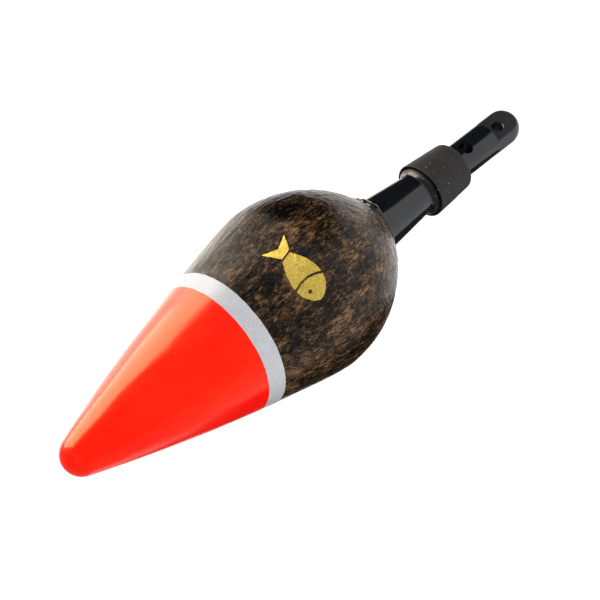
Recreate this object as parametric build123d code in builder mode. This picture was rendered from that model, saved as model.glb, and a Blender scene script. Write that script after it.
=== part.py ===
"""Balsa bobber float on a plastic stem, with a rubber sleeve that slides down to lock the line.

Millimetres. The float's axis is Z, with the coloured tip upwards. The origin is the centre of
the line eye at the foot of the stem, and the eye's hole runs along X.
"""

import os
from math import cos, radians, sin

from build123d import *

os.makedirs("parts", exist_ok=True)

# ---- Balsa body: heights are above the line eye -------------------------------------------
tip_height = 83.1
tip_radius = 2.9
tip_flank_angle = 19.2       # between the axis and the flank, where the round tip runs into it
tip_flank_reach = 16.25      # how far the flank holds that direction
belly_diameter = 25.4
belly_height = 41.8
belly_reach_up = 2.5         # how far the outline stays parallel to the axis above the belly
belly_reach_down = 4.3
neck_height = 26.0
neck_angle = 55.0            # between the axis and the shoulder, where it meets the stem
neck_reach = 8.95

# ---- Paint coats ----------------------------------------------------------------------------
undercoat_edge_height = 53.9
undercoat_thickness = 0.14
topcoat_edge_height = 56.4
topcoat_thickness = 0.10

# ---- Foil mark: a plain fish, printed on the belly -----------------------------------------
mark_height = 45.8
mark_azimuth = -13.0         # from +X towards +Y, about Z
mark_length = 10.0
mark_width = 4.4
mark_thickness = 0.05
fish_back = (-0.10, 0.50)    # the fish's corners, as shares of its length and of its width
fish_tail_root = (0.26, 0.11)
fish_tail_fin = (0.50, 0.42)
fish_tail_notch = 0.40
fish_eye = (-0.34, 0.07)
fish_eye_share = 0.075
fish_nose_tangent = (0.35, 1)
fish_root_tangent = (1, -0.35)

# ---- Stem -----------------------------------------------------------------------------------
peg_radius = 2.57
stem_neck_radius = 3.95
waist_step = 0.53            # the stem's waist stands this far proud of the peg
lip_step = 1.08              # and the lip at its foot this far
lip_edge = 0.12              # height of the lip's straight rim
lip_flare_length = 1.3       # from the rim up to the waist
lip_flare_middle = (0.24, 0.32)  # the hollow flare's middle, as shares of its step and length
shank_radius = 2.8
shank_length = 17.0
shank_nose = 0.6
groove_count = 4
groove_depth = 0.35
groove_width = 1.2
groove_pitch = 3.4
first_groove = 3.0           # from the collar to the middle of the first groove

# ---- Tongue, line eye and lock hole ----------------------------------------------------------
tongue_thickness = 3.4
tongue_length = 4.0          # from the eye's centre to the stem's round foot
shoulder_height = 1.95
tongue_edge_fillet = 0.3
eye_radius = 0.85
eye_chamfer = 0.12
lock_hole_height = 7.0
lock_hole_radius = 1.0

# ---- Rubber sleeve ---------------------------------------------------------------------------
sleeve_length = 6.95
sleeve_top_wall = 1.53
sleeve_foot_wall = 1.0
sleeve_edge_fillet = 0.4
sleeve_bore_clearance = 0.05
sleeve_stop_gap = 0.05       # between the stem's lip and the sleeve, at rest
sleeve_foot_gap = 1.1        # from the lock hole's rim up to the sleeve, at rest
sleeve_cover = 3.0           # how far past the lock hole the sleeve ends up, slid down

# ---- Glue ------------------------------------------------------------------------------------
glue_gap = 0.2               # between the shank and its socket
glue_seat_gap = 0.1          # between the stem's collar and the end of the body
glue_bead_radius = 0.5

# ---- Derived values --------------------------------------------------------------------------
belly_radius = belly_diameter / 2
collar_height = neck_height - glue_seat_gap
socket_radius = shank_radius + glue_gap
socket_top = collar_height + shank_length + glue_gap
sleeve_bore_radius = peg_radius + sleeve_bore_clearance
sleeve_foot_height = lock_hole_height + lock_hole_radius + sleeve_foot_gap
sleeve_top_height = sleeve_foot_height + sleeve_length
sleeve_travel = sleeve_foot_gap + 2 * lock_hole_radius + sleeve_cover
lip_height = sleeve_top_height + sleeve_stop_gap
lip_radius = peg_radius + lip_step
waist_height = lip_height + lip_edge + lip_flare_length
waist_radius = peg_radius + waist_step
coats_thickness = undercoat_thickness + topcoat_thickness


def body_section(inset=0.0, mode=Mode.ADD):
    """Add the body's half section to the sketch in hand, with its surface set in by inset."""
    angle = radians(tip_flank_angle)
    radius = tip_radius - inset
    cap_centre = tip_height - tip_radius
    apex = (0, cap_centre + radius)
    middle_angle = (angle + radians(90)) / 2
    cap_middle = (radius * cos(middle_angle), cap_centre + radius * sin(middle_angle))
    cap_end = (radius * cos(angle), cap_centre + radius * sin(angle))
    flank_handle = (
        cap_end[0] + tip_flank_reach * sin(angle),
        cap_end[1] - tip_flank_reach * cos(angle),
    )
    belly = (belly_radius - inset, belly_height)
    neck = (stem_neck_radius, neck_height)
    neck_handle = (
        neck[0] + neck_reach * sin(radians(neck_angle)),
        neck[1] + neck_reach * cos(radians(neck_angle)),
    )
    with BuildLine() as outline:
        ThreePointArc(apex, cap_middle, cap_end)
        Bezier(cap_end, flank_handle, (belly[0], belly[1] + belly_reach_up), belly)
        Bezier(belly, (belly[0], belly[1] - belly_reach_down), neck_handle, neck)
        Polyline(neck, (0, neck_height), apex)
    make_face(outline.edges(), mode=mode)


def clear_side(height, align):
    """Cut the sketch in hand away below the height (Align.MAX) or above it (Align.MIN)."""
    with Locations((0, height)):
        size = 4 * tip_height
        Rectangle(size, size, align=(Align.CENTER, align), mode=Mode.SUBTRACT)


def stem_section(mode=Mode.ADD):
    """Add the stem's half section, from its round foot to the nose of the shank."""
    shank_top = collar_height + shank_length
    dome_centre = -tongue_length + peg_radius
    dome_middle = (peg_radius * sin(radians(45)), dome_centre - peg_radius * cos(radians(45)))
    rim_top = lip_height + lip_edge
    flare_middle = (
        waist_radius + lip_flare_middle[0] * (lip_radius - waist_radius),
        rim_top + lip_flare_middle[1] * lip_flare_length,
    )
    with BuildLine() as outline:
        ThreePointArc((0, -tongue_length), dome_middle, (peg_radius, dome_centre))
        Polyline(
            (peg_radius, dome_centre),
            (peg_radius, lip_height),
            (lip_radius, lip_height),
            (lip_radius, rim_top),
        )
        ThreePointArc((lip_radius, rim_top), flare_middle, (waist_radius, waist_height))
        Polyline(
            (waist_radius, waist_height),
            (stem_neck_radius, collar_height),
            (shank_radius, collar_height),
            (shank_radius, shank_top - shank_nose),
            (shank_radius - shank_nose, shank_top),
            (0, shank_top),
            (0, -tongue_length),
        )
    make_face(outline.edges(), mode=mode)


def groove_section(mode=Mode.SUBTRACT):
    """Cut or add the row of glue grooves along the shank's half section."""
    for index in range(groove_count):
        height = collar_height + first_groove + index * groove_pitch
        with Locations((shank_radius, height)):
            Rectangle(groove_depth, groove_width, align=(Align.MAX, Align.CENTER), mode=mode)


# ---- Balsa body ------------------------------------------------------------------------------
with BuildPart() as balsa_body:
    with BuildSketch(Plane.XZ):
        body_section()
        clear_side(undercoat_edge_height, Align.MIN)
    revolve(axis=Axis.Z)
    with BuildSketch(Plane.XZ):
        body_section(inset=coats_thickness)
        clear_side(undercoat_edge_height, Align.MAX)
    revolve(axis=Axis.Z)
    with BuildSketch(Plane.XY.offset(neck_height)):
        Circle(socket_radius)
    extrude(amount=socket_top - neck_height, mode=Mode.SUBTRACT)
balsa_body.part.label = "balsa_body"
export_step(balsa_body.part, "parts/balsa_body.step")

# ---- White undercoat: shows as the band, and runs on under the bright topcoat -----------------
with BuildPart() as white_undercoat:
    with BuildSketch(Plane.XZ):
        body_section()
        clear_side(topcoat_edge_height, Align.MIN)
        body_section(inset=coats_thickness, mode=Mode.SUBTRACT)
        clear_side(undercoat_edge_height, Align.MAX)
    revolve(axis=Axis.Z)
    with BuildSketch(Plane.XZ):
        body_section(inset=topcoat_thickness)
        body_section(inset=coats_thickness, mode=Mode.SUBTRACT)
        clear_side(topcoat_edge_height, Align.MAX)
    revolve(axis=Axis.Z)
white_undercoat.part.label = "white_undercoat"
export_step(white_undercoat.part, "parts/white_undercoat.step")

# ---- Fluorescent orange topcoat ----------------------------------------------------------------
with BuildPart() as orange_topcoat:
    with BuildSketch(Plane.XZ):
        body_section()
        body_section(inset=topcoat_thickness, mode=Mode.SUBTRACT)
        clear_side(topcoat_edge_height, Align.MAX)
    revolve(axis=Axis.Z)
orange_topcoat.part.label = "orange_topcoat"
export_step(orange_topcoat.part, "parts/orange_topcoat.step")

# ---- Stem: tongue with the line eye, round peg with the lock hole, lip, collar and shank -------
with BuildPart() as stem:
    with BuildSketch(Plane.XZ):
        stem_section()
        groove_section()
    revolve(axis=Axis.Z)

    # The tongue's two flats.
    flat_depth = peg_radius - tongue_thickness / 2
    with BuildSketch(Plane.XY.offset(shoulder_height)):
        for side in (-1, 1):
            with Locations((side * (tongue_thickness / 2 + flat_depth), 0)):
                Rectangle(2 * flat_depth, 4 * peg_radius)
    extrude(amount=-2 * (shoulder_height + tongue_length), mode=Mode.SUBTRACT)
    tongue_rims = [
        edge
        for edge in stem.edges().filter_by(Plane.YZ)
        if edge.center().Z < shoulder_height - tongue_edge_fillet
    ]
    fillet(tongue_rims, radius=min(tongue_edge_fillet, tongue_thickness / 3))

    # The line eye and the lock hole, both along X.
    with BuildSketch(Plane.YZ):
        Circle(eye_radius)
        with Locations((0, lock_hole_height)):
            Circle(lock_hole_radius)
    extrude(amount=2 * peg_radius, both=True, mode=Mode.SUBTRACT)
    eye_rims = [
        edge
        for edge in stem.edges().filter_by(GeomType.CIRCLE).filter_by(Plane.YZ)
        if abs(edge.radius - eye_radius) < 1e-6
    ]
    chamfer(eye_rims, length=eye_chamfer)
stem.part.label = "stem"
export_step(stem.part, "parts/stem.step")

# ---- Glue: fills the socket round the shank and swells out as a bead at the neck ---------------
with BuildPart() as stem_glue:
    with BuildSketch(Plane.XZ):
        with Locations((stem_neck_radius, neck_height - glue_seat_gap / 2)):
            Circle(glue_bead_radius)
        body_section(mode=Mode.SUBTRACT)
        with Locations((0, collar_height)):
            Rectangle(stem_neck_radius, glue_seat_gap, align=(Align.MIN, Align.MIN))
            Rectangle(socket_radius, socket_top - collar_height, align=(Align.MIN, Align.MIN))
        stem_section(mode=Mode.SUBTRACT)
        groove_section(mode=Mode.ADD)
    revolve(axis=Axis.Z)
stem_glue.part.label = "stem_glue"
export_step(stem_glue.part, "parts/stem_glue.step")

# ---- Rubber sleeve ------------------------------------------------------------------------------
with BuildPart() as lock_sleeve:
    with BuildSketch(Plane.XZ):
        with BuildLine():
            Polyline(
                (sleeve_bore_radius, sleeve_foot_height),
                (sleeve_bore_radius + sleeve_foot_wall, sleeve_foot_height),
                (sleeve_bore_radius + sleeve_top_wall, sleeve_top_height),
                (sleeve_bore_radius, sleeve_top_height),
                close=True,
            )
        make_face()
    revolve(axis=Axis.Z)
    rims = lock_sleeve.edges().filter_by(GeomType.CIRCLE).sort_by(SortBy.RADIUS)[-2:]
    fillet(rims, radius=min(sleeve_edge_fillet, sleeve_foot_wall / 2))
lock_sleeve.part.label = "lock_sleeve"
export_step(lock_sleeve.part, "parts/lock_sleeve.step")

# ---- Foil mark: a fish, cut from a thin skin that lies on the belly -------------------------------
with BuildPart() as foil_mark:
    with BuildSketch(Plane.XZ):
        body_section(inset=-mark_thickness)
        body_section(mode=Mode.SUBTRACT)
        clear_side(mark_height + mark_width, Align.MIN)
        clear_side(mark_height - mark_width, Align.MAX)
    revolve(axis=Axis.Z)
    mark_plane = Plane(
        origin=(0, 0, mark_height),
        x_dir=(-sin(radians(mark_azimuth)), cos(radians(mark_azimuth)), 0),
        z_dir=(cos(radians(mark_azimuth)), sin(radians(mark_azimuth)), 0),
    )
    nose = (-mark_length / 2, 0)
    back, root, fin, eye = (
        (along * mark_length, across * mark_width)
        for along, across in (fish_back, fish_tail_root, fish_tail_fin, fish_eye)
    )
    notch = (fish_tail_notch * mark_length, 0)
    with BuildSketch(mark_plane):
        with BuildLine():
            Spline(nose, back, root, tangents=[fish_nose_tangent, fish_root_tangent])
            Polyline(root, fin, notch)
            mirror(about=Plane.XZ)
        make_face()
        with Locations(eye):
            Circle(fish_eye_share * mark_width, mode=Mode.SUBTRACT)
    extrude(amount=2 * belly_radius, mode=Mode.INTERSECT)
foil_mark.part.label = "foil_mark"
export_step(foil_mark.part, "parts/foil_mark.step")
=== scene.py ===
"""Finished look of the balsa bobber float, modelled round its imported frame.

Everything is in metres, in the frame's own axes: the origin is the centre of the line eye, +Z runs
up the float to the coloured tip, and +X runs along the eye's hole. Turned pieces are spun from
their outlines, given real surface relief, and dressed in procedural finishes.
"""

import logging
import math
from dataclasses import dataclass
from enum import Enum
from typing import Callable, Optional, Sequence, Union

import bpy
from mathutils import Matrix, Vector, noise


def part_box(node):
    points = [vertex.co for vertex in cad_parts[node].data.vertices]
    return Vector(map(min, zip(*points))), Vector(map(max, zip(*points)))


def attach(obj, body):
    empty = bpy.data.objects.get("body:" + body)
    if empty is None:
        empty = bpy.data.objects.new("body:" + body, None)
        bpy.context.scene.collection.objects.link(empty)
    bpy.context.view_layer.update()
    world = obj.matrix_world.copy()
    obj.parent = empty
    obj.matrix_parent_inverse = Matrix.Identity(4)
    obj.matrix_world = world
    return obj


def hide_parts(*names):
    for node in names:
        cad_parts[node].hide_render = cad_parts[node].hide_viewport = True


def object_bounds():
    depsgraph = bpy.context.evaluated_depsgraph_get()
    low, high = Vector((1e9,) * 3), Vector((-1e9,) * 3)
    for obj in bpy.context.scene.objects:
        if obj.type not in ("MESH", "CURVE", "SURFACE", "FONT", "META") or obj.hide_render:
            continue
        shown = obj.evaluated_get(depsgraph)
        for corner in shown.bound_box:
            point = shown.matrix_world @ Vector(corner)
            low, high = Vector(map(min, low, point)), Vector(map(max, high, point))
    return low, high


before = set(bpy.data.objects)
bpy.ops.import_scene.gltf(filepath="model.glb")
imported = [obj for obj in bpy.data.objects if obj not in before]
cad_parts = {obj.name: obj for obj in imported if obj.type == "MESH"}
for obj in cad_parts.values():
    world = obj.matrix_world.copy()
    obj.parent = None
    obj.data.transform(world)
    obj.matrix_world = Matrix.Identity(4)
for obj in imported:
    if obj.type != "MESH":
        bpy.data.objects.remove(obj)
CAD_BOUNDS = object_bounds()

LOG = logging.getLogger("bobber_float")

MM = 0.001
WELD = 1e-7

Colour = tuple[float, float, float]
Grain = tuple[float, float, float]


def grain_of(across: float, along: Optional[float] = None) -> Grain:
    """Size of one unit of pattern along X, Y and Z.

    Args:
        across: Its size across the float, in millimetres.
        along: Its size along the float, in millimetres, where that differs.

    Returns:
        The size in metres.
    """
    return (across * MM, across * MM, (across if along is None else along) * MM)


def held(*values: float) -> float:
    """The least of the values, held between 0 and 1."""
    return max(0.0, min(1.0, *values))


# ---- Shader maths ----


class Wire:
    """One output socket of a material, with operators that add Math nodes."""

    def __init__(self, sheet: "ShaderSheet", socket: bpy.types.NodeSocket) -> None:
        """Wrap a socket.

        Args:
            sheet: The material's sheet, which adds the nodes.
            socket: The output socket that this wire starts from.
        """
        self.sheet = sheet
        self.socket = socket

    def maths(self, operation: str, *values: "Operand", clamp: bool = False) -> "Wire":
        """Add a Math node with this wire as its first value.

        Args:
            operation: The node's operation, such as "ADD".
            values: The node's other values.
            clamp: True to hold the result between 0 and 1.

        Returns:
            The node's result.
        """
        sockets = dict(enumerate((self, *values)))
        return self.sheet.add(
            "ShaderNodeMath", {"operation": operation, "use_clamp": clamp}, sockets
        )

    def __add__(self, other: "Operand") -> "Wire":
        """Sum."""
        return self.maths("ADD", other)

    __radd__ = __add__

    def __mul__(self, other: "Operand") -> "Wire":
        """Product."""
        return self.maths("MULTIPLY", other)

    def __sub__(self, other: "Operand") -> "Wire":
        """Difference."""
        return self.maths("SUBTRACT", other)

    def __rsub__(self, other: float) -> "Wire":
        """Difference from a number."""
        return (self * -1.0) + other

    def __abs__(self) -> "Wire":
        """Size without its sign."""
        return self.maths("ABSOLUTE")

    def clamped(self) -> "Wire":
        """Hold between 0 and 1."""
        return self.maths("ADD", 0.0, clamp=True)

    def step(self, low: float, high: float) -> "Wire":
        """Ease from 0 at low to 1 at high.

        Args:
            low: Value that gives 0.
            high: Value that gives 1. It may be less than low.

        Returns:
            The eased value.
        """
        settings = {"interpolation_type": "SMOOTHSTEP"}
        sockets = {"Value": self, "From Min": low, "From Max": high, "To Min": 0.0, "To Max": 1.0}
        if low > high:
            sockets.update({"From Min": high, "From Max": low, "To Min": 1.0, "To Max": 0.0})
        return self.sheet.add("ShaderNodeMapRange", settings, sockets)


Operand = Union[Wire, float]
SocketValue = Union[Wire, float, Sequence[float]]


class ShaderSheet:
    """A new material, its node tree and its one Principled shader."""

    def __init__(self, name: str) -> None:
        """Start an empty material.

        Args:
            name: The material's name.
        """
        self.material = bpy.data.materials.new(name)
        self.material.use_nodes = True
        self.tree = self.material.node_tree
        self.shader = self.tree.nodes["Principled BSDF"]

    def add(
        self,
        kind: str,
        settings: Optional[dict] = None,
        sockets: Optional[dict] = None,
        output: Union[int, str] = 0,
    ) -> Wire:
        """Add a node.

        Args:
            kind: The node's type.
            settings: Its settings, set first. "stops" holds a colour ramp's stops.
            sockets: Values or wires for its inputs, by name or number.
            output: The output to return.

        Returns:
            The chosen output.
        """
        made = self.tree.nodes.new(kind)
        for key, value in (settings or {}).items():
            if key == "stops":
                self.set_stops(made.color_ramp, value)
            else:
                setattr(made, key, value)
        for key, value in (sockets or {}).items():
            self.feed(made.inputs[key], value)
        return Wire(self, made.outputs[output])

    def feed(self, target: bpy.types.NodeSocket, value: SocketValue) -> None:
        """Link or set one input socket."""
        if isinstance(value, Wire):
            self.tree.links.new(value.socket, target)
        else:
            target.default_value = value

    @staticmethod
    def set_stops(ramp: bpy.types.ColorRamp, stops: Sequence[tuple[float, Colour]]) -> None:
        """Give a colour ramp its stops."""
        while len(ramp.elements) < len(stops):
            ramp.elements.new(1.0)
        for element, (position, colour) in zip(ramp.elements, stops):
            element.position = position
            element.color = (*colour, 1.0)

    def place(self) -> Wire:
        """Give the surface point in the frame's axes."""
        return self.add("ShaderNodeTexCoord", output="Object")

    def height(self) -> Wire:
        """Give the surface point's height along the float."""
        return self.add("ShaderNodeSeparateXYZ", sockets={"Vector": self.place()}, output="Z")

    def stretched(self, grain: Grain) -> Wire:
        """Give the surface point divided by a grain size along each axis.

        Args:
            grain: The size of one unit of pattern along X, Y and Z, in metres.

        Returns:
            The scaled point.
        """
        scale = tuple(1.0 / size for size in grain)
        return self.add(
            "ShaderNodeVectorMath", {"operation": "MULTIPLY"}, {0: self.place(), 1: scale}
        )

    def cloud(
        self, grain: Grain, detail: float = 3.0, rough: float = 0.5, swirl: float = 0.0
    ) -> Wire:
        """Add a noise pattern.

        Args:
            grain: The size of one unit of pattern along X, Y and Z, in metres.
            detail: Octaves of finer noise.
            rough: Strength of the finer octaves.
            swirl: Distortion.

        Returns:
            The pattern's value, about 0.5 on average.
        """
        sockets = {
            "Vector": self.stretched(grain),
            "Scale": 1.0,
            "Detail": detail,
            "Roughness": rough,
            "Distortion": swirl,
        }
        return self.add("ShaderNodeTexNoise", sockets=sockets)

    def cells(self, grain: Grain, feature: str = "F1") -> Wire:
        """Add a cell pattern and give the distance in each cell."""
        sockets = {"Vector": self.stretched(grain), "Scale": 1.0}
        return self.add("ShaderNodeTexVoronoi", {"feature": feature}, sockets, output="Distance")

    def ramp(self, value: Wire, stops: Sequence[tuple[float, Colour]]) -> Wire:
        """Colour a value by a ramp."""
        return self.add("ShaderNodeValToRGB", {"stops": stops}, {"Fac": value}, output="Color")

    def blend(self, amount: Operand, low: SocketValue, high: SocketValue) -> Wire:
        """Mix two colours.

        Args:
            amount: 0 for the first colour, 1 for the second.
            low: The first colour.
            high: The second colour.

        Returns:
            The mixed colour.
        """
        colours = [
            value if isinstance(value, Wire) else (*value, 1.0) for value in (low, high)
        ]
        settings = {"data_type": "RGBA"}
        return self.add("ShaderNodeMix", settings, {0: amount, 6: colours[0], 7: colours[1]}, 2)

    def bump(self, height: Wire, depth: float) -> Wire:
        """Turn a height pattern into a surface normal.

        Args:
            height: The pattern, from 0 to 1.
            depth: The relief between 0 and 1, in metres.

        Returns:
            The normal.
        """
        sockets = {"Height": height, "Strength": 1.0, "Distance": depth}
        return self.add("ShaderNodeBump", sockets=sockets)

    def finish(self, **values: SocketValue) -> bpy.types.Material:
        """Set the Principled shader's sockets and give the material.

        Args:
            values: Socket values, by socket name in lower case with underscores.

        Returns:
            The finished material.
        """
        for key, value in values.items():
            name = key.replace("_", " ").title().replace("Ior", "IOR")
            if isinstance(value, tuple) and len(value) == 3:
                value = (*value, 1.0)
            self.feed(self.shader.inputs[name], value)
        return self.material


# ---- Finishes ----


@dataclass(frozen=True)
class VarnishedBalsa:
    """Dark-stained balsa under a thick clear varnish."""

    pore: Colour = (0.003, 0.002, 0.0015)
    stain: Colour = (0.016, 0.008, 0.004)
    wood: Colour = (0.095, 0.048, 0.021)
    pale: Colour = (0.36, 0.21, 0.10)

    def material(self) -> bpy.types.Material:
        """Mottled patches, grain streaks along the axis and fine dark pores."""
        sheet = ShaderSheet("varnished_balsa")
        patches = sheet.cloud(grain_of(3.0, 4.5), detail=3.0, rough=0.55, swirl=0.6)
        streaks = sheet.cloud(grain_of(0.40, 1.2), detail=5.0, rough=0.64, swirl=0.8)
        fibres = sheet.cloud(grain_of(0.11, 0.6), detail=2.0, rough=0.6)
        pores = sheet.cloud(grain_of(0.2, 0.36), detail=1.0).step(0.40, 0.28)
        flecks = sheet.cloud(grain_of(0.5, 0.9), detail=2.0).step(0.66, 0.74)
        tone = (streaks - 0.5) * 1.7 + (patches - 0.5) * 1.1 + (fibres - 0.5) * 0.7
        colour = sheet.ramp(
            (tone + 0.5).clamped(),
            ((0.28, self.pore), (0.44, self.stain), (0.64, self.wood), (1.0, self.pale)),
        )
        colour = sheet.blend(flecks * 0.55, colour, self.pale)
        colour = sheet.blend(pores * 0.75, colour, self.pore)
        relief = (streaks * 0.65 + fibres * 0.25 - pores * 0.2).clamped()
        return sheet.finish(
            base_color=colour,
            roughness=(0.10 + fibres * 0.14),
            normal=sheet.bump(relief, 0.055 * MM),
            specular_ior_level=0.17,
        )


@dataclass(frozen=True)
class WhitePaint:
    """Thin white paint, brushed on, with the wood's fine grain just showing in it."""

    light: Colour = (0.74, 0.75, 0.78)
    shade: Colour = (0.57, 0.59, 0.64)

    def material(self) -> bpy.types.Material:
        """Faint cloth-like streaks and a soft gloss."""
        sheet = ShaderSheet("white_paint")
        weave = sheet.cloud(grain_of(0.22, 0.5), detail=3.0, rough=0.6)
        drift = sheet.cloud(grain_of(2.5), detail=1.0)
        amount = (weave.step(0.62, 0.34) * 0.5 + drift.step(0.35, 0.7) * 0.25).clamped()
        return sheet.finish(
            base_color=sheet.blend(amount, self.light, self.shade),
            roughness=(0.24 + weave * 0.2),
            normal=sheet.bump(weave, 0.02 * MM),
        )


@dataclass(frozen=True)
class OrangePaint:
    """Fluorescent orange-red gloss, with a painted glow: it gives off a little light in its own
    colour.
    """

    deep: Colour = (0.95, 0.002, 0.0)
    light: Colour = (1.0, 0.012, 0.0)
    glow: Colour = (1.0, 0.002, 0.0)
    sheen: Colour = (1.0, 0.66, 0.34)

    def material(self) -> bpy.types.Material:
        """Slow drift between two shades, with dust nibs under a wet gloss."""
        sheet = ShaderSheet("orange_paint")
        drift = sheet.cloud(grain_of(4.0, 12.0), detail=2.0)
        fine = sheet.cloud(grain_of(0.5, 1.6), detail=2.0)
        nibs = sheet.cells(grain_of(1.7, 2.2)).step(0.16, 0.04)
        relief = (drift * 0.6 + nibs * 0.4).clamped()
        return sheet.finish(
            base_color=sheet.blend(drift.step(0.3, 0.7), self.deep, self.light),
            roughness=(0.20 + fine * 0.04),
            normal=sheet.bump(relief, 0.02 * MM),
            specular_ior_level=0.70,
            specular_tint=self.sheen,
            # Painted glow: emission in the paint's own colour stands in for its fluorescence.
            emission_color=(*self.glow, 1.0),
            emission_strength=0.30,
        )


@dataclass(frozen=True)
class BlackPlastic:
    """Glossy black moulded plastic under a coat of varnish, with gold specks at the lip painted in
    as a reflection of the brown body.
    """

    lip_height: float
    shoulder_height: float
    body: Colour = (0.008, 0.009, 0.012)
    scuff: Colour = (0.026, 0.027, 0.031)
    # Colour of the gold specks at the lip, a painted reflection of the brown body.
    dust_and_reflection: Colour = (0.55, 0.43, 0.2)

    def material(self) -> bpy.types.Material:
        """Faint drawn-out scuffs, a rippled gloss, gold specks at the lip as a painted reflection,
        and a rubbed tongue.
        """
        sheet = ShaderSheet("black_plastic")
        scuffs = sheet.cloud(grain_of(0.35, 2.4), detail=4.0, rough=0.65)
        ripple = sheet.cloud(grain_of(1.6, 3.0), detail=2.0)
        specks = sheet.cells(grain_of(0.42)).step(0.20, 0.12)
        chosen = sheet.cloud(grain_of(0.9), detail=0.0).step(0.56, 0.62)
        near_lip = abs(sheet.height() - self.lip_height).step(0.9 * MM, 0.2 * MM)
        # Painted reflection: gold specks near the lip stand in for the brown body mirrored in the
        # wet varnish there.
        gold = (specks * chosen * near_lip).clamped()
        rubbed = sheet.height().step(self.shoulder_height + 0.1 * MM, self.shoulder_height)
        worn = (scuffs.step(0.5, 0.8) * 0.7 + rubbed * 0.35).clamped()
        return sheet.finish(
            base_color=sheet.blend(gold, sheet.blend(worn, self.body, self.scuff), self.dust_and_reflection),
            roughness=(0.07 + scuffs * 0.12 + rubbed * 0.26 + near_lip * 0.30).clamped(),
            normal=sheet.bump((ripple * 0.85 + scuffs * 0.15).clamped(), 0.03 * MM),
        )


@dataclass(frozen=True)
class BlackGlue:
    """Set black glue, wet-looking and lumpy."""

    body: Colour = (0.008, 0.008, 0.010)
    haze: Colour = (0.05, 0.045, 0.04)

    def material(self) -> bpy.types.Material:
        """Glossy black with a little haze in the hollows."""
        sheet = ShaderSheet("black_glue")
        lumps = sheet.cloud(grain_of(0.7), detail=2.0)
        return sheet.finish(
            base_color=sheet.blend(lumps.step(0.55, 0.8), self.body, self.haze),
            roughness=(0.05 + lumps * 0.10),
            normal=sheet.bump(lumps, 0.05 * MM),
        )


@dataclass(frozen=True)
class SleeveRubber:
    """Matt charcoal rubber with pale dust on it."""

    body: Colour = (0.0115, 0.0096, 0.0093)
    worn: Colour = (0.024, 0.0212, 0.0205)
    dust_and_reflection: Colour = (0.42, 0.38, 0.31)

    def material(self) -> bpy.types.Material:
        """Fine pebbled surface, worn patches and scattered specks."""
        sheet = ShaderSheet("sleeve_rubber")
        pebble = sheet.cloud(grain_of(0.12), detail=3.0, rough=0.6)
        wear = sheet.cloud(grain_of(1.8), detail=3.0)
        specks = sheet.cells(grain_of(0.7)).step(0.15, 0.07)
        chosen = sheet.cloud(grain_of(0.35), detail=0.0).step(0.42, 0.6)
        rubbed = (wear.step(0.4, 0.75) + pebble.step(0.5, 0.8) * 0.5) * 0.6
        colour = sheet.blend(rubbed, self.body, self.worn)
        return sheet.finish(
            base_color=sheet.blend(specks * chosen, colour, self.dust_and_reflection),
            roughness=(0.52 + pebble * 0.25),
            normal=sheet.bump(pebble, 0.03 * MM),
            specular_ior_level=0.45,
        )


@dataclass(frozen=True)
class GoldFoil:
    """Hot-stamped gold foil, finely crinkled, under the varnish."""

    bright: Colour = (0.86, 0.66, 0.14)
    dull: Colour = (0.60, 0.42, 0.07)

    def material(self) -> bpy.types.Material:
        """Crinkled metal with duller creases."""
        sheet = ShaderSheet("gold_foil")
        crinkle = sheet.cloud(grain_of(0.34), detail=4.0, rough=0.7, swirl=1.2)
        creases = sheet.cells(grain_of(0.5), "DISTANCE_TO_EDGE").step(0.07, 0.0)
        relief = (crinkle * 0.8 + creases * 0.2).clamped()
        return sheet.finish(
            base_color=sheet.blend(crinkle.step(0.62, 0.38), self.bright, self.dull),
            metallic=(0.85 - creases * 0.15),
            roughness=(0.36 + crinkle * 0.2),
            normal=sheet.bump(relief, 0.09 * MM),
        )


@dataclass(frozen=True)
class StudioPaint:
    """Plain matt paint for the studio's floor, walls and cards, which may be lit from within."""

    name: str
    body: Colour = (0.88, 0.88, 0.88)
    glow: float = 0.0

    def material(self) -> bpy.types.Material:
        """Matt and even."""
        sheet = ShaderSheet(self.name)
        return sheet.finish(
            base_color=self.body,
            roughness=0.9,
            emission_color=(1.0, 1.0, 1.0, 1.0),
            emission_strength=self.glow,
        )


# ---- Modelling tools ----


class Spread(Enum):
    """Which way a relief pushes the surface."""

    OUT = "NORMAL"
    ALONG = "Z"


@dataclass(frozen=True)
class Relief:
    """One layer of real surface relief.

    Attributes:
        name: Word for the texture's name.
        grain: Size of the pattern along X, Y and Z.
        depth: Full height of the relief.
        spread: Which way it pushes.
        octaves: Layers of finer noise.
    """

    name: str
    grain: Grain
    depth: float
    spread: Spread = Spread.OUT
    octaves: int = 2


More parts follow.
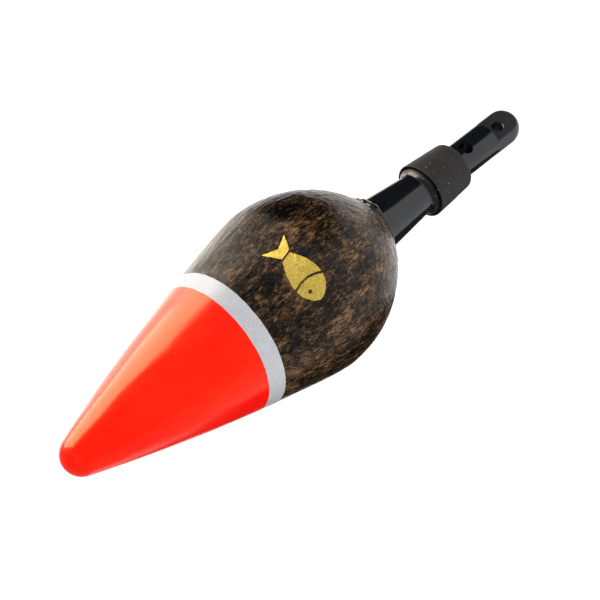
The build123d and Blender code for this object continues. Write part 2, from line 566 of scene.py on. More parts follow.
class Bench:
    """The modelling steps that every piece is made with."""

    @staticmethod
    def clear() -> None:
        """Leave edit mode and deselect everything."""
        if bpy.context.object and bpy.context.object.mode != "OBJECT":
            bpy.ops.object.mode_set(mode="OBJECT")
        bpy.ops.object.select_all(action="DESELECT")

    @staticmethod
    def take(name: str) -> bpy.types.Object:
        """Name the primitive that was just added.

        Args:
            name: The piece's name.

        Returns:
            The piece.
        """
        piece = bpy.context.active_object
        piece.name = name
        piece.data.name = name
        return piece

    @classmethod
    def turn(cls, name: str, outline: Sequence[Vector], steps: int) -> bpy.types.Object:
        """Spin an outline about the float's axis, as on a lathe.

        Args:
            name: The piece's name.
            outline: Points in the XZ plane, in order. A closed ring repeats its first point.
            steps: How many times the outline is repeated round the axis.

        Returns:
            The turned piece, closed, with its faces outwards.
        """
        cls.clear()
        bpy.ops.mesh.primitive_plane_add(size=MM)
        piece = cls.take(name)
        bpy.ops.object.mode_set(mode="EDIT")
        bpy.ops.mesh.merge(type="CENTER")
        bpy.ops.transform.translate(value=outline[0])
        for start, end in zip(outline, outline[1:]):
            bpy.ops.mesh.extrude_region_move(TRANSFORM_OT_translate={"value": end - start})
        bpy.ops.mesh.select_all(action="SELECT")
        bpy.ops.mesh.spin(steps=steps, angle=math.tau, center=(0, 0, 0), axis=(0, 0, 1))
        cls.close_up()
        return piece

    @staticmethod
    def close_up() -> None:
        """Weld the piece in edit mode, turn its faces outwards and go back to object mode."""
        bpy.ops.mesh.select_all(action="SELECT")
        bpy.ops.mesh.remove_doubles(threshold=WELD)
        bpy.ops.mesh.normals_make_consistent(inside=False)
        bpy.ops.object.mode_set(mode="OBJECT")

    @staticmethod
    def apply(piece: bpy.types.Object, kind: str, **settings: object) -> None:
        """Add a modifier and apply it.

        Args:
            piece: The piece.
            kind: The modifier's type.
            settings: Its settings.
        """
        bpy.context.view_layer.objects.active = piece
        modifier = piece.modifiers.new(kind.lower(), kind)
        for key, value in settings.items():
            setattr(modifier, key, value)
        bpy.ops.object.modifier_apply(modifier=modifier.name)

    @classmethod
    def raise_relief(
        cls, piece: bpy.types.Object, relief: Relief, weight: Callable[[Vector], float]
    ) -> None:
        """Push a piece's surface by a noise pattern.

        Args:
            piece: The piece.
            relief: The layer of relief.
            weight: How strongly each point takes it, from 0 to 1.
        """
        group = piece.vertex_groups.new(name=relief.name)
        for vertex in piece.data.vertices:
            amount = weight(vertex.co)
            if amount > 0:
                group.add([vertex.index], amount, "REPLACE")
        cls.clear()
        bpy.ops.object.empty_add()
        ruler = bpy.context.active_object
        ruler.scale = relief.grain
        bpy.context.view_layer.update()
        pattern = bpy.data.textures.new(relief.name, "CLOUDS")
        pattern.noise_scale = 1.0
        pattern.noise_depth = relief.octaves
        cls.apply(
            piece,
            "DISPLACE",
            texture=pattern,
            texture_coords="OBJECT",
            texture_coords_object=ruler,
            direction=relief.spread.value,
            strength=relief.depth,
            mid_level=0.5,
            vertex_group=group.name,
        )
        bpy.data.objects.remove(ruler)
        piece.vertex_groups.clear()

    @classmethod
    def smooth(cls, piece: bpy.types.Object, angle: float = 35.0) -> None:
        """Shade a piece smooth, apart from edges sharper than the angle in degrees."""
        cls.clear()
        piece.select_set(True)
        bpy.context.view_layer.objects.active = piece
        bpy.ops.object.shade_smooth_by_angle(angle=math.radians(angle))

    @staticmethod
    def dress(piece: bpy.types.Object, material: bpy.types.Material) -> None:
        """Give a piece its one material."""
        piece.data.materials.clear()
        piece.data.materials.append(material)

    @staticmethod
    def mount(piece: bpy.types.Object, body: str, node: str, slot: str) -> None:
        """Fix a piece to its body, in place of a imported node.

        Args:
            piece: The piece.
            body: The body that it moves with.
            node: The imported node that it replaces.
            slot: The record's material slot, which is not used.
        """
        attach(piece, body)
        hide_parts(node)


def arc(
    centre: tuple[float, float], radius: float, start: float, end: float, count: int
) -> list[Vector]:
    """Points on an arc in the XZ plane.

    Args:
        centre: The arc's centre, as X and Z.
        radius: Its radius.
        start: First angle from +X towards +Z, in degrees.
        end: Last angle.
        count: How many steps.

    Returns:
        The points, both ends included.
    """
    angles = [math.radians(start + (end - start) * index / count) for index in range(count + 1)]
    return [
        Vector((centre[0] + radius * math.cos(a), 0, centre[1] + radius * math.sin(a)))
        for a in angles
    ]


def bezier(ends: Sequence[Vector], count: int) -> list[Vector]:
    """Points on a cubic curve.

    Args:
        ends: Start, its handle, the end's handle and the end.
        count: How many steps.

    Returns:
        The points, both ends included.
    """
    found = []
    for index in range(count + 1):
        t = index / count
        s = 1 - t
        weights = (s * s * s, 3 * s * s * t, 3 * s * t * t, t * t * t)
        found.append(sum((w * p for w, p in zip(weights, ends)), Vector()))
    return found


def part_between(
    points: Sequence[Vector], low: float, high: float = math.inf
) -> list[Vector]:
    """Keep the stretch of a falling outline between two heights, cut exactly at both.

    Args:
        points: The outline, from its top down.
        low: Lowest height kept.
        high: Highest height kept. Left out, the outline is kept to its top.

    Returns:
        The points kept, from the top down.
    """
    kept = []
    for start, end in zip(points, points[1:]):
        for level in (high, low):
            if start.z > level > end.z:
                share = (start.z - level) / (start.z - end.z)
                kept.append(start.lerp(end, share))
        if low <= end.z <= high:
            kept.append(end)
    if points[0].z <= high:
        kept.insert(0, points[0])
    return sorted(kept, key=lambda point: -point.z)


def turned_angle(point: Vector) -> float:
    """Angle of a point about the float's axis, from +X, in degrees."""
    return math.degrees(math.atan2(point.y, point.x))


# ---- Painted balsa body ----


@dataclass
class PaintedBody:
    """The turned balsa body and its two coats of paint.

    Attributes:
        tip_radius: Radius of the round tip.
        flank_angle: Between the axis and the flank at the tip, in degrees.
        flank_reach: How far the flank holds that direction.
        reach_up: How far the outline stays parallel to the axis above the belly.
        reach_down: The same below it.
        belly_above_neck: Height of the belly above the neck.
        neck_angle: Between the axis and the shoulder at the neck, in degrees.
        neck_reach: How far the shoulder holds that direction.
        film: How far each coat of paint stands proud of what it covers.
        lap: How far the wood's full outline, and then the white, run on under the next coat.
        wood_inset: How far the wood lies inside the outline where paint hides it.
        white_inner_inset: The same for the white coat's inside.
        white_outer_inset: The same for the white coat's outside, under the orange.
        orange_inner_inset: The same for the orange coat's inside.
        socket_radius: Radius of the drilled socket.
        socket_depth: Its depth above the neck.
        edge_fade: How far up from a coat's edge the edge's raggedness reaches.
        fold_reach: How far up from the neck the folds in the varnish reach.
        fine_steps: Steps round the wood.
        smooth_steps: Steps round each coat of paint.
        wood_rings: Steps along each stretch of the outline of the wood and the white band.
        orange_rings: The same for the orange coat.
        hidden_rings: The same where paint hides the surface.
    """

    tip_radius: float = 2.9 * MM
    flank_angle: float = 19.2
    flank_reach: float = 16.25 * MM
    reach_up: float = 2.5 * MM
    reach_down: float = 4.3 * MM
    belly_above_neck: float = 15.8 * MM
    neck_angle: float = 55.0
    neck_reach: float = 8.95 * MM
    film: float = 0.03 * MM
    lap: float = 0.5 * MM
    wood_inset: float = 0.24 * MM
    white_inner_inset: float = 0.8 * 0.24 * MM
    white_outer_inset: float = 0.6 * 0.24 * MM
    orange_inner_inset: float = 0.4 * 0.24 * MM
    socket_radius: float = 3.0 * MM
    socket_depth: float = 17.1 * MM
    edge_fade: float = 0.8 * MM
    fold_reach: float = 9 * MM
    fine_steps: int = 384
    smooth_steps: int = 256
    wood_rings: int = 150
    orange_rings: int = 170
    hidden_rings: int = 24

    def __post_init__(self) -> None:
        """Take the heights and radii that the frame gives."""
        wood_low, wood_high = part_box("balsa_body")
        self.neck_height = wood_low.z
        self.belly_radius = wood_high.x
        self.belly_height = self.neck_height + self.belly_above_neck
        self.neck_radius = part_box("stem")[1].x
        self.white_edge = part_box("white_undercoat")[0].z
        self.orange_edge, self.tip_height = (corner.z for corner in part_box("orange_topcoat"))

    def outline(self, rise: float, fineness: int) -> list[Vector]:
        """The body's outline, from the tip's apex down to the neck.

        Args:
            rise: How far outside the true outline it lies. Negative is inside.
            fineness: Steps along the flank, and along the shoulder.

        Returns:
            Points in the XZ plane.
        """
        radius = self.tip_radius + rise
        centre = (0.0, self.tip_height - self.tip_radius)
        cap = arc(centre, radius, 90, self.flank_angle, max(6, fineness // 8))
        cap[0].x = 0.0
        angle = math.radians(self.flank_angle)
        down_flank = Vector((math.sin(angle), 0, -math.cos(angle))) * self.flank_reach
        belly = Vector((self.belly_radius + rise, 0, self.belly_height))
        flank = bezier(
            (cap[-1], cap[-1] + down_flank, belly + Vector((0, 0, self.reach_up)), belly), fineness
        )
        angle = math.radians(self.neck_angle)
        up_shoulder = Vector((math.sin(angle), 0, math.cos(angle))) * self.neck_reach
        neck = Vector((self.neck_radius, 0, self.neck_height))
        shoulder = bezier(
            (belly, belly - Vector((0, 0, self.reach_down)), neck + up_shoulder, neck), fineness
        )
        return cap + flank[1:] + shoulder[1:]

    def hidden(self, inset: float) -> list[Vector]:
        """The outline of a surface that paint hides, set in by a distance."""
        return self.outline(-inset, self.hidden_rings)

    def outside(self, point: Vector) -> bool:
        """True for a point of the wood that shows, and not one in the socket or under paint."""
        return (
            point.z < self.white_edge + self.lap
            and math.hypot(point.x, point.y) > self.neck_radius + 0.02 * MM
        )

    def turn_wood(self) -> bpy.types.Object:
        """Turn the wood, with its socket, and raise its grain."""
        edge = self.white_edge + self.lap
        painted = part_between(self.hidden(self.wood_inset), edge, self.tip_height)
        showing = part_between(self.outline(0.0, self.wood_rings), self.neck_height, edge)
        socket_top = self.neck_height + self.socket_depth
        socket = [
            Vector((self.socket_radius, 0, self.neck_height)),
            Vector((self.socket_radius, 0, socket_top)),
            Vector((0, 0, socket_top)),
        ]
        wood = Bench.turn("balsa_wood", painted + showing + socket, self.fine_steps)
        swell = Relief("swell", grain_of(5, 9), 0.10 * MM, octaves=1)
        grooves = Relief("grooves", grain_of(0.75, 3.2), 0.11 * MM, octaves=2)
        pits = Relief("pits", grain_of(0.55, 0.9), 0.05 * MM, octaves=1)
        for layer in (swell, grooves, pits):
            Bench.raise_relief(wood, layer, self.wood_weight)
        folds = Relief("folds", grain_of(0.9, 3.6), 0.22 * MM, octaves=1)
        Bench.raise_relief(wood, folds, self.fold_weight)
        return wood

    def wood_weight(self, point: Vector) -> float:
        """How strongly the wood's relief shows at a point."""
        if not self.outside(point):
            return 0.0
        to_neck = (math.hypot(point.x, point.y) - self.neck_radius) / (0.4 * MM)
        to_paint = (self.white_edge - point.z) / (0.6 * MM)
        return held(to_neck, to_paint)

    def fold_weight(self, point: Vector) -> float:
        """How strongly the folds show: only round the neck."""
        above = (point.z - self.neck_height) / self.fold_reach
        return self.wood_weight(point) * max(0.0, 1 - above)

    def turn_white(self) -> bpy.types.Object:
        """Turn the white coat as a thin shell, with a slightly ragged lower edge."""
        lapped = self.orange_edge + self.lap
        under = part_between(self.hidden(self.white_outer_inset), lapped)
        band = part_between(self.outline(self.film, self.wood_rings), self.white_edge, lapped)
        inner = part_between(self.hidden(self.white_inner_inset), self.white_edge)
        white = Bench.turn("white_band", under + band + inner[::-1], self.smooth_steps)
        ragged = Relief("ragged", grain_of(1.1, 9), 0.16 * MM, Spread.ALONG, 2)
        Bench.raise_relief(white, ragged, self.fading_from(self.white_edge))
        brushed = Relief("brushed", grain_of(0.6, 1.6), 0.02 * MM, octaves=1)
        Bench.raise_relief(white, brushed, self.band_weight)
        return white

    def fading_from(self, edge: float) -> Callable[[Vector], float]:
        """Weight that is 1 at a coat's edge and falls to 0 a little way up."""
        return lambda point: max(0.0, 1 - (point.z - edge) / self.edge_fade)

    def band_weight(self, point: Vector) -> float:
        """1 over the white band that shows."""
        return 1.0 if point.z < self.orange_edge + self.lap else 0.0

    def turn_orange(self) -> bpy.types.Object:
        """Turn the orange coat as a thin shell, with runs and nibs in its gloss."""
        outer = part_between(self.outline(2 * self.film, self.orange_rings), self.orange_edge)
        inner = part_between(self.hidden(self.orange_inner_inset), self.orange_edge)
        orange = Bench.turn("orange_tip", outer + inner[::-1], self.smooth_steps)
        runs = Relief("runs", grain_of(3.5, 14), 0.14 * MM, octaves=1)
        waves = Relief("waves", grain_of(1.6, 6.0), 0.025 * MM, octaves=1)
        edge = Relief("edge", grain_of(2.2, 9), 0.10 * MM, Spread.ALONG, 1)
        Bench.raise_relief(orange, runs, self.paint_weight)
        Bench.raise_relief(orange, waves, self.paint_weight)
        Bench.raise_relief(orange, edge, self.fading_from(self.orange_edge))
        return orange

    def paint_weight(self, point: Vector) -> float:
        """0 at the orange coat's edge and on the very tip, 1 between them."""
        from_edge = (point.z - self.orange_edge) / (2.5 * MM)
        from_tip = (self.tip_height - point.z) / (4 * MM)
        return held(from_edge, from_tip)

    def build(self) -> list[bpy.types.Object]:
        """Make, dress and mount the wood and its coats.

        Returns:
            The wood, the white coat and the orange coat.
        """
        made = (
            (self.turn_wood(), VarnishedBalsa().material(), "varnished_balsa", "balsa_body"),
            (self.turn_white(), WhitePaint().material(), "white_paint", "white_undercoat"),
            (self.turn_orange(), OrangePaint().material(), "orange_paint", "orange_topcoat"),
        )
        for piece, material, slot, node in made:
            Bench.smooth(piece)
            Bench.dress(piece, material)
            Bench.mount(piece, "float_body", node, slot)
        return [piece for piece, *_ in made]


# ---- Foil mark ----


@dataclass
class FoilMark:
    """A plain fish in gold foil, laid on the belly in three stencil parts.

    Attributes:
        wood: The turned wood that it lies on.
        lift: How far the foil lies above the wood.
        thickness: The foil's own thickness.
        gap: Width of the stencil gaps. This and the shares below are of the length or the width.
        tail_root: Where the tail starts, from the nose.
        tail_half: Half the tail's width at its end.
        tail_notch: Depth of the notch in the tail.
        body_end: Where the body's outline would close, had it no tail.
        skew: How far forward the body's fullest part lies, less than 1 for forward.
        fullness: How blunt the body is, less than 1 for blunt.
        gill: Place of the gill's gap, and how far it bows.
        root_gap: Place of the gap before the tail, and how far it leans.
        eye: Place of the eye, along and to one side.
        eye_squash: Scale of the eye's distance across the fish.
        eye_radius: The eye's radius.
        torn_pitch: How often the edge's tears repeat in the fish's length.
        torn_depth: How deep they are.
    """

    wood: bpy.types.Object
    azimuth: float = -13.0
    lift: float = 0.015 * MM
    thickness: float = 0.03 * MM
    gap: float = 0.035
    tail_root: float = 0.76
    tail_half: float = 0.47
    tail_notch: float = 0.10
    body_end: float = 0.86
    skew: float = 0.72
    fullness: float = 0.85
    gill: tuple[float, float] = (0.285, 0.06)
    root_gap: tuple[float, float] = (0.755, 0.02)
    eye: tuple[float, float] = (0.17, 0.34)
    eye_squash: float = 0.36
    eye_radius: float = 0.26 * MM
    torn_pitch: float = 40
    torn_depth: float = 0.012
    cells_long: int = 110
    cells_wide: int = 36

    def __post_init__(self) -> None:
        """Take the mark's size and place from the frame."""
        low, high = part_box("foil_mark")
        self.length = high.y - low.y
        self.width = high.z - low.z
        self.height = (high.z + low.z) / 2
        self.reach = high.x

    def half_width(self, along: float) -> float:
        """Half the fish's width, as a share of its full width.

        Args:
            along: Place along the fish, from 0 at the nose to 1 at the tail's end.

        Returns:
            The share, up to 0.5.
        """
        if along < self.tail_root:
            body = math.sin(math.pi * (along / self.body_end) ** self.skew)
            return 0.5 * max(0.02, body) ** self.fullness
        body = math.sin(math.pi * (self.tail_root / self.body_end) ** self.skew)
        root = 0.5 * body**self.fullness
        return root + (self.tail_half - root) * self.along_tail(along) ** 0.9

    def along_tail(self, along: float) -> float:
        """Place along the tail, from 0 at its root to 1 at its end."""
        return (along - self.tail_root) / (1 - self.tail_root)

    def shape(self, point: Vector) -> tuple[float, float]:
        """Move a point of the flat grid, from -0.5 to 0.5 each way, into the fish.

        Args:
            point: The grid's point.

        Returns:
            Its place along and across the fish, as shares of the length and the width.
        """
        along = point.x + 0.5
        side = point.y * 2
        tail = max(0.0, self.along_tail(along))
        pulled = along - tail * self.tail_notch * (1 - abs(side))
        return pulled - 0.5, side * self.half_width(along)

    def build(self) -> bpy.types.Object:
        """Cut, wrap, thicken and dress the foil.

        Returns:
            The foil.
        """
        Bench.clear()
        bpy.ops.mesh.primitive_grid_add(
            x_subdivisions=self.cells_long, y_subdivisions=self.cells_wide, size=1.0
        )
        foil = Bench.take("foil_fish")
        self.cut_stencil(foil)
        self.wrap(foil)
        Bench.apply(
            foil,
            "SHRINKWRAP",
            target=self.wood,
            wrap_method="NEAREST_SURFACEPOINT",
            wrap_mode="ABOVE_SURFACE",
            offset=self.lift,
        )
        Bench.apply(foil, "SOLIDIFY", thickness=self.thickness, offset=1.0)
        Bench.smooth(foil, 50)
        Bench.dress(foil, GoldFoil().material())
        Bench.mount(foil, "float_body", "foil_mark", "gold_foil")
        return foil

    def cut_stencil(self, foil: bpy.types.Object) -> None:
        """Delete the grid's faces at the eye and at the two stencil gaps."""
        bpy.ops.object.mode_set(mode="EDIT")
        bpy.ops.mesh.select_mode(type="FACE")
        bpy.ops.mesh.select_all(action="DESELECT")
        bpy.ops.object.mode_set(mode="OBJECT")
        for face in foil.data.polygons:
            along, side = face.center.x + 0.5, face.center.y * 2
            gill = self.gill[0] + self.gill[1] * (1 - side * side)
            root_gap = self.root_gap[0] - self.root_gap[1] * side
            from_eye = math.hypot(
                (along - self.eye[0]) * self.length,
                (side - self.eye[1]) * self.width * self.eye_squash,
            )
            face.select = (
                abs(along - gill) < self.gap / 2
                or abs(along - root_gap) < self.gap / 2
                or from_eye < self.eye_radius
            )
        bpy.ops.object.mode_set(mode="EDIT")
        bpy.ops.mesh.delete(type="FACE")
        bpy.ops.mesh.select_mode(type="VERT")
        bpy.ops.object.mode_set(mode="OBJECT")

    def wrap(self, foil: bpy.types.Object) -> None:
        """Bend the flat fish round the belly, with slightly torn edges."""
        turn = math.radians(self.azimuth)
        for vertex in foil.data.vertices:
            along, across = self.shape(vertex.co)
            spot = Vector((along * self.torn_pitch, across * self.torn_pitch, 3.0))
            torn = noise.noise(spot) * self.torn_depth
            angle = turn + (along + torn * 0.4) * self.length / self.reach
            height = self.height + (across + torn) * self.width
            vertex.co = (self.reach * math.cos(angle), self.reach * math.sin(angle), height)
        bpy.context.view_layer.objects.active = foil
        bpy.ops.object.mode_set(mode="EDIT")
        bpy.ops.mesh.select_all(action="SELECT")
        bpy.ops.mesh.normals_make_consistent(inside=False)
        bpy.ops.object.mode_set(mode="OBJECT")
        if foil.data.polygons[0].normal.dot(foil.data.polygons[0].center) < 0:
            foil.data.flip_normals()


# ---- Stem ----


@dataclass
class Stem:
    """The moulded stem, which stays as packed, and the glue round it.

    Attributes:
        shoulder_height: Where the tongue's flats end, above the line eye.
        bead_radius: Thickness of the glue bead where it is fullest.
        thin_share: Share of that thickness on the clean side.
        blob_angle: Where the bead is fullest, from +X, in degrees.
        blob_spread: How far round the full part reaches, in degrees.
        lump: How strongly the full part is lumped.
        lump_size: Size of one lump.
    """

    shoulder_height: float = 1.95 * MM
    bead_radius: float = 0.74 * MM
    thin_share: float = 0.3
    blob_angle: float = 38.0
    blob_spread: float = 48.0
    lump: float = 0.4
    lump_size: float = 1.0 * MM
    ring_steps: int = 180
    tube_steps: int = 24

    def bead_share(self, angle: float) -> float:
        """The bead's thickness at an angle round the neck, as a share of its fullest."""
        away = abs((angle - self.blob_angle + 180) % 360 - 180)
        full = math.exp(-((away / self.blob_spread) ** 4))
        return self.thin_share + (1 - self.thin_share) * full

    def build_glue(self) -> bpy.types.Object:
        """Make the bead at the neck: thin all round, with lumps on one side."""
        neck_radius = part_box("stem")[1].x
        neck_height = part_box("balsa_body")[0].z
        Bench.clear()
        bpy.ops.mesh.primitive_torus_add(
            major_segments=self.ring_steps,
            minor_segments=self.tube_steps,
            major_radius=neck_radius,
            minor_radius=self.bead_radius,
            location=(0, 0, neck_height),
        )
        glue = Bench.take("glue_bead")
        bpy.ops.object.transform_apply(location=True, rotation=True, scale=True)
        for vertex in glue.data.vertices:
            flat = Vector((vertex.co.x, vertex.co.y, 0))
            ring = flat.normalized() * neck_radius + Vector((0, 0, neck_height))
            share = self.bead_share(turned_angle(vertex.co))
            lumps = 1 + self.lump * noise.noise(vertex.co / self.lump_size) * share
            vertex.co = ring + (vertex.co - ring) * share * lumps
        Bench.smooth(glue, 60)
        Bench.dress(glue, BlackGlue().material())
        Bench.mount(glue, "float_body", "stem_glue", "black_glue")
        return glue

    def dress_stem(self) -> bpy.types.Object:
        """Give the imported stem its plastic."""
        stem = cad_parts["stem"]
        lip_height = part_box("lock_sleeve")[1].z
        Bench.dress(stem, BlackPlastic(lip_height, self.shoulder_height).material())
        return stem

    def build(self) -> list[bpy.types.Object]:
        """Dress the stem and add its glue.

        Returns:
            The stem and the glue.
        """
        return [self.dress_stem(), self.build_glue()]


# ---- Rubber sleeve ----


@dataclass
class LockSleeve:
    """The tapered rubber sleeve that slides on the peg.

    Attributes:
        bore_radius: Radius of its bore.
        foot_wall: Wall at the foot.
        rim: Rounding of the outer rims.
        bore_rim: Rounding of the bore's rims.
        lip_wall: Wall round the recess that faces the stem's lip.
        lip_recess: Depth of that recess.
    """

    bore_radius: float = 2.62 * MM
    foot_wall: float = 1.0 * MM
    rim: float = 0.42 * MM
    bore_rim: float = 0.15 * MM
    lip_wall: float = 0.24 * MM
    lip_recess: float = 0.55 * MM
    steps: int = 220
    rings: int = 60

    def outline(self) -> list[Vector]:
        """The sleeve's section as a closed ring, from the foot's bore outwards and up."""
        low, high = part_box("lock_sleeve")
        bottom, top = low.z, high.z
        foot_radius = self.bore_radius + self.foot_wall
        lean = math.degrees(math.atan2(high.x - foot_radius, top - bottom))
        foot_x, top_x = foot_radius - self.rim, high.x - self.lip_wall / 2
        bore_x = self.bore_radius + self.bore_rim
        points = arc((bore_x, bottom + self.bore_rim), self.bore_rim, 180, 270, 4)
        points += arc((foot_x, bottom + self.rim), self.rim, -90, -lean, 8)
        start = points[-1]
        head = arc((top_x, top - self.lip_wall / 2), self.lip_wall / 2, -lean, 180, 10)
        points += [start.lerp(head[0], index / self.rings) for index in range(1, self.rings)]
        points += head
        seat = top - self.lip_recess
        points.append(Vector((head[-1].x - self.lip_wall, 0, seat)))
        points += arc((bore_x, seat - self.bore_rim), self.bore_rim, 90, 180, 4)
        points.append(points[0].copy())
        return points

    def build(self) -> bpy.types.Object:
        """Turn the sleeve, roughen it and dress it.

        Returns:
            The sleeve.
        """
        sleeve = Bench.turn("rubber_sleeve", self.outline(), self.steps)
        uneven = Relief("uneven", grain_of(2.4, 3.0), 0.06 * MM, octaves=1)
        pebbled = Relief("pebbled", grain_of(0.35), 0.02 * MM, octaves=2)
        for layer in (uneven, pebbled):
            Bench.raise_relief(sleeve, layer, self.outer_weight)
        Bench.smooth(sleeve, 50)
        Bench.dress(sleeve, SleeveRubber().material())
        Bench.mount(sleeve, "sleeve", "lock_sleeve", "sleeve_rubber")
        return sleeve

    def outer_weight(self, point: Vector) -> float:
        """1 on the outside, 0 in the bore."""
        wall = math.hypot(point.x, point.y) - self.bore_radius
        return held((wall - 0.2 * MM) / (0.3 * MM))


# ---- Studio ----


@dataclass(frozen=True)
class Place:
    """A place in the studio, seen from the middle of the float.

    Attributes:
        azimuth: Its direction, from +X towards +Y, in degrees.
        elevation: Its direction above the horizon, in degrees.
        distance: How far away it is.
    """

    azimuth: float
    elevation: float
    distance: float

    def direction(self) -> Vector:
        """Unit vector from the float towards the place."""
        turn, rise = math.radians(self.azimuth), math.radians(self.elevation)
        flat = math.cos(rise)
        return Vector((math.cos(turn) * flat, math.sin(turn) * flat, math.sin(rise)))

    def facing(self) -> Matrix:
        """Axes that look at the float from the place, upright."""
        return self.direction().to_track_quat("Z", "Y").to_matrix()


class Reach(Enum):
    """What a light shows in: only gloss, or only matt shading."""

    GLOSS = "gloss"
    MATT = "matt"


WARM: Colour = (1.0, 0.86, 0.68)


@dataclass(frozen=True)
class Panel:
    """A flat panel that faces the middle of the float.

    Attributes:
        name: The panel's name.
        place: Where it stands.
        width: Its width.
        height: Its height.
    """

    name: str
    place: Place
    width: float
    height: float

    def spot(self, middle: Vector) -> Vector:
        """Where the panel stands, given the middle of the float."""
        return middle + self.place.direction() * self.place.distance


@dataclass(frozen=True)
class SoftBox(Panel):
    """One soft light.

    Attributes:
        brightness: Its radiance, where a lit white wall is about 1.
        reach: What it shows in.
        tint: Its colour.
    """

    brightness: float
    reach: Reach
    tint: Colour = (1.0, 1.0, 1.0)

    def build(self, middle: Vector) -> None:
        """Stand the light in the studio.

        Args:
            middle: The middle of the float.
        """
        lamp = bpy.data.lights.new(self.name, "AREA")
        lamp.shape = "RECTANGLE"
        lamp.size, lamp.size_y = self.width, self.height
        lamp.energy = self.brightness * math.pi * self.width * self.height
        lamp.color = self.tint
        stand = bpy.data.objects.new(self.name, lamp)
        bpy.context.scene.collection.objects.link(stand)
        stand.location = self.spot(middle)
        stand.rotation_euler = self.place.facing().to_euler()
        stand.visible_glossy = self.reach is not Reach.MATT
        stand.visible_diffuse = self.reach is not Reach.GLOSS


@dataclass(frozen=True)
class DarkCard(Panel):
    """One dark card, which shows only in gloss and shading."""

    def build(self, middle: Vector) -> None:
        """Stand the card in the studio.

        Args:
            middle: The middle of the float.
        """
        Bench.clear()
        bpy.ops.mesh.primitive_plane_add(size=1.0)
        card = Bench.take(self.name)
        size = Matrix.Diagonal((self.width, self.height, 1.0, 1.0))
        place = Matrix.Translation(self.spot(middle))
        card.matrix_world = place @ self.place.facing().to_4x4() @ size
        bpy.ops.object.transform_apply(location=True, rotation=True, scale=True)
        Bench.dress(card, StudioPaint(self.name, body=(0.01, 0.01, 0.01)).material())
        card.visible_camera = card.visible_shadow = False


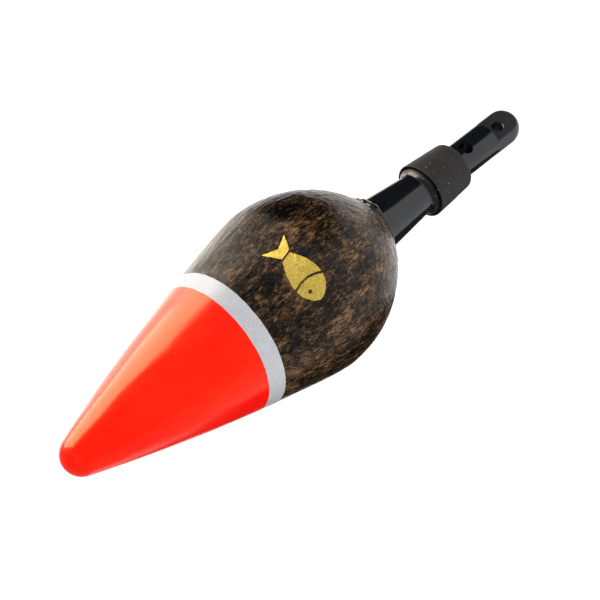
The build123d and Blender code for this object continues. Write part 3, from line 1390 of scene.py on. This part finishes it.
@dataclass
class Studio:
    """Floor, walls, lights and camera.

    Attributes:
        floor_drop: How far the floor lies below the float.
        room: The room's radius.
        floor_glow: Light that the floor gives from within.
        room_light: Strength of the even light that fills the room.
        eye: Where the camera stands.
        roll: How far the camera is turned about its line of sight, in degrees.
        lens: Focal length in millimetres, on a 36 mm wide sensor.
        aside: How far the camera stands right of the float's middle, and above it, in its view.
        cards: The dark cards that keep the floor out of the gloss.
        lights: The soft lights.
    """

    floor_drop: float = 0.20
    room: float = 2.5
    floor_glow: float = 0.72
    room_light: float = 0.28
    eye: Place = Place(-20.4, 28.79, 0.31007)
    roll: float = 127.97
    lens: float = 138.0
    aside: tuple[float, float] = (-0.548 * MM, -2.519 * MM)
    cards: tuple[DarkCard, ...] = (
        DarkCard("left_card", Place(58.0, -42.0, 0.13), 0.26, 0.10),
        DarkCard("right_card", Place(-150.0, -24.0, 0.15), 0.17, 0.13),
    )
    lights: tuple[SoftBox, ...] = (
        SoftBox("long_gloss", Place(70.0, 13.0, 0.30), 0.30, 0.23, 8.5, Reach.GLOSS, WARM),
        SoftBox("rim_gloss", Place(119.0, -3.0, 0.30), 0.36, 0.21, 1.9, Reach.GLOSS, WARM),
        SoftBox("key", Place(80.0, 25.0, 0.60), 0.50, 0.50, 2.7, Reach.MATT),
        SoftBox("front", Place(-30.0, 60.0, 0.80), 0.70, 0.50, 2.0, Reach.MATT),
        SoftBox("side", Place(-100.0, 0.0, 0.80), 0.50, 0.50, 0.8, Reach.MATT),
    )

    def __post_init__(self) -> None:
        """Find the middle of the float."""
        low, high = CAD_BOUNDS
        self.middle = (low + high) / 2
        self.bottom = low.z

    def build_floor(self) -> None:
        """Lay the pale floor."""
        Bench.clear()
        bpy.ops.mesh.primitive_circle_add(
            vertices=96,
            radius=self.room,
            fill_type="NGON",
            location=(0, 0, self.bottom - self.floor_drop),
        )
        floor = Bench.take("floor")
        bpy.ops.object.transform_apply(location=True, rotation=True, scale=True)
        Bench.dress(floor, StudioPaint("floor_paint", glow=self.floor_glow).material())

    def build_wall(self) -> None:
        """Put the plain white wall round the room, behind everything in every view."""
        Bench.clear()
        bpy.ops.mesh.primitive_uv_sphere_add(
            segments=64, ring_count=32, radius=self.room, location=(0, 0, 0)
        )
        wall = Bench.take("wall")
        wall.data.flip_normals()
        paint = StudioPaint("wall_paint", glow=1.0).material()
        paint.cycles.emission_sampling = "NONE"
        Bench.dress(wall, paint)
        wall.visible_diffuse = wall.visible_glossy = wall.visible_shadow = False
        wall.visible_transmission = False

    def build_room_light(self) -> None:
        """Fill the room with even pale light."""
        world = bpy.data.worlds.new("room")
        world.use_nodes = True
        background = world.node_tree.nodes["Background"]
        background.inputs["Color"].default_value = (1.0, 1.0, 1.0, 1.0)
        background.inputs["Strength"].default_value = self.room_light
        bpy.context.scene.world = world
        bpy.context.scene.view_settings.view_transform = "Standard"

    def build_camera(self) -> None:
        """Place the camera."""
        lens = bpy.data.cameras.new("camera")
        lens.lens = self.lens
        lens.sensor_width = 36.0
        lens.clip_start, lens.clip_end = 0.01, 20.0
        camera = bpy.data.objects.new("camera", lens)
        bpy.context.scene.collection.objects.link(camera)
        axes = self.eye.facing() @ Matrix.Rotation(math.radians(-self.roll), 3, "Z")
        place = self.middle + axes @ Vector((*self.aside, self.eye.distance))
        camera.matrix_world = Matrix.Translation(place) @ axes.to_4x4()
        bpy.context.scene.camera = camera

    def build(self) -> None:
        """Set up the whole studio."""
        self.build_floor()
        self.build_wall()
        for item in (*self.cards, *self.lights):
            item.build(self.middle)
        self.build_room_light()
        self.build_camera()


def main() -> None:
    """Build the float's looks in order: studio, body, foil, stem, sleeve."""
    logging.basicConfig(level=logging.INFO, format="%(name)s: %(message)s")
    Studio().build()
    wood, *coats = PaintedBody().build()
    pieces = [wood, *coats, FoilMark(wood).build(), *Stem().build(), LockSleeve().build()]
    for piece in pieces:
        LOG.info("%s: %d faces", piece.name, len(piece.data.polygons))


if __name__ == "__main__":
    main()
